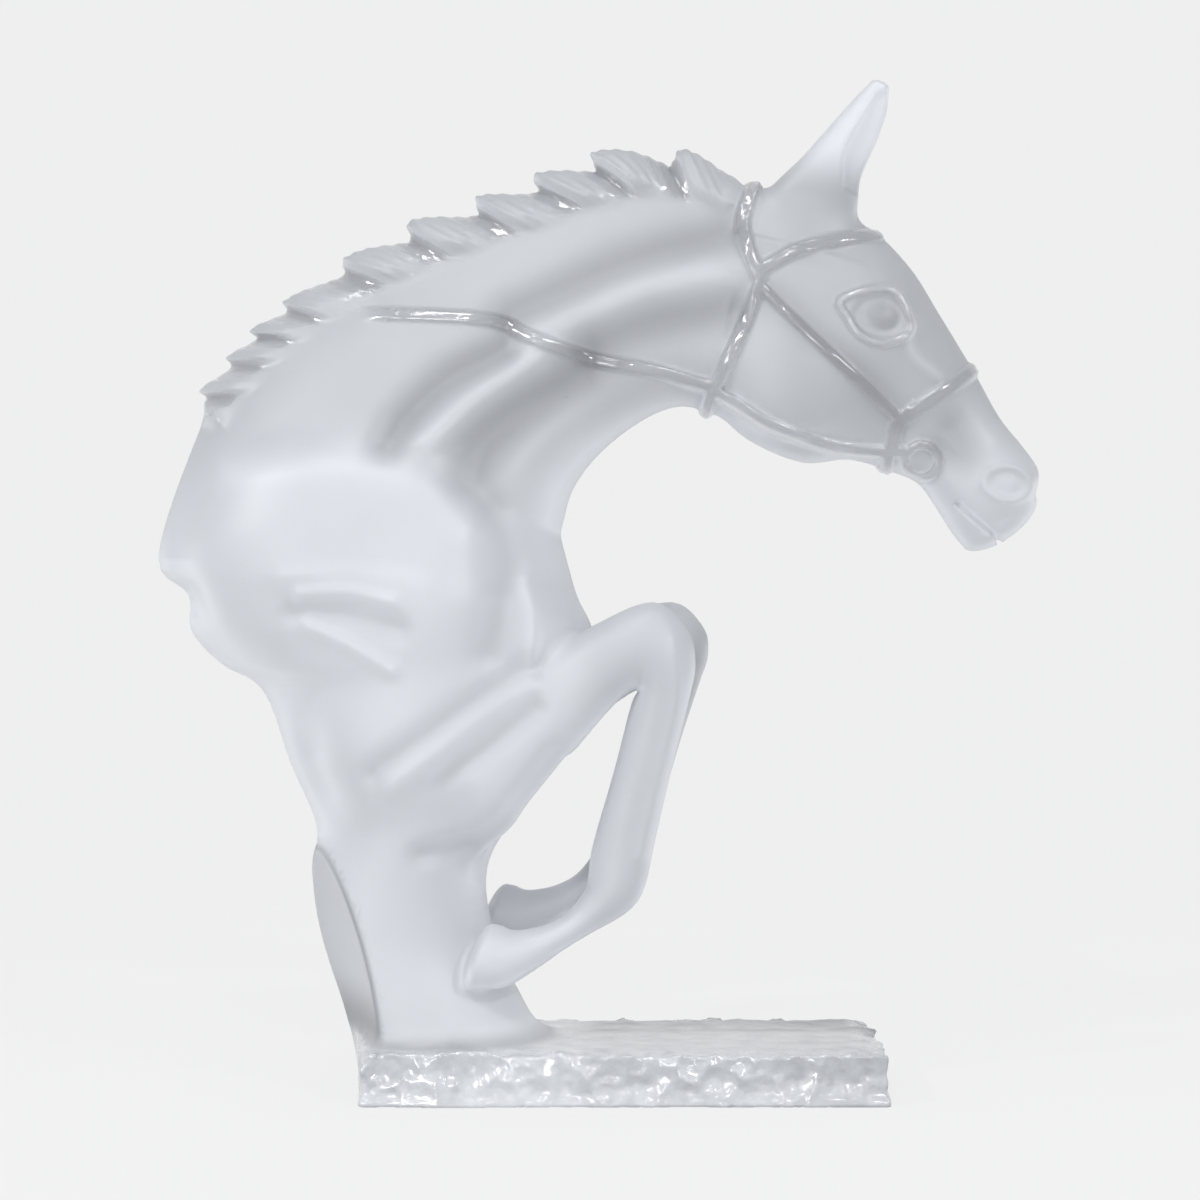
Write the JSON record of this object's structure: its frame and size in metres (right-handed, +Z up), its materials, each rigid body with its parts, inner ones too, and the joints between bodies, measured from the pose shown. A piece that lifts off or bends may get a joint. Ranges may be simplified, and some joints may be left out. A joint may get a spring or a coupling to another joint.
{
  "type": "horse sculpture",
  "caption": "Frosted resin table sculpture of a jumping horse's bridled head, arched neck and tucked forelegs, cast in one piece with its rough-hewn base.",
  "frame": {"origin": "middle of the base's flat underside", "axes": "+X the way the horse faces, +Y to the horse's left, +Z up"},
  "size_m": [0.2933, 0.0973, 0.3332],
  "materials": {
    "resin": "frosted translucent cast resin, polished on the mane, bridle and reins"
  },
  "bodies": {
    "root": {"horse_sculpture": "resin"}
  },
  "joints": []
}
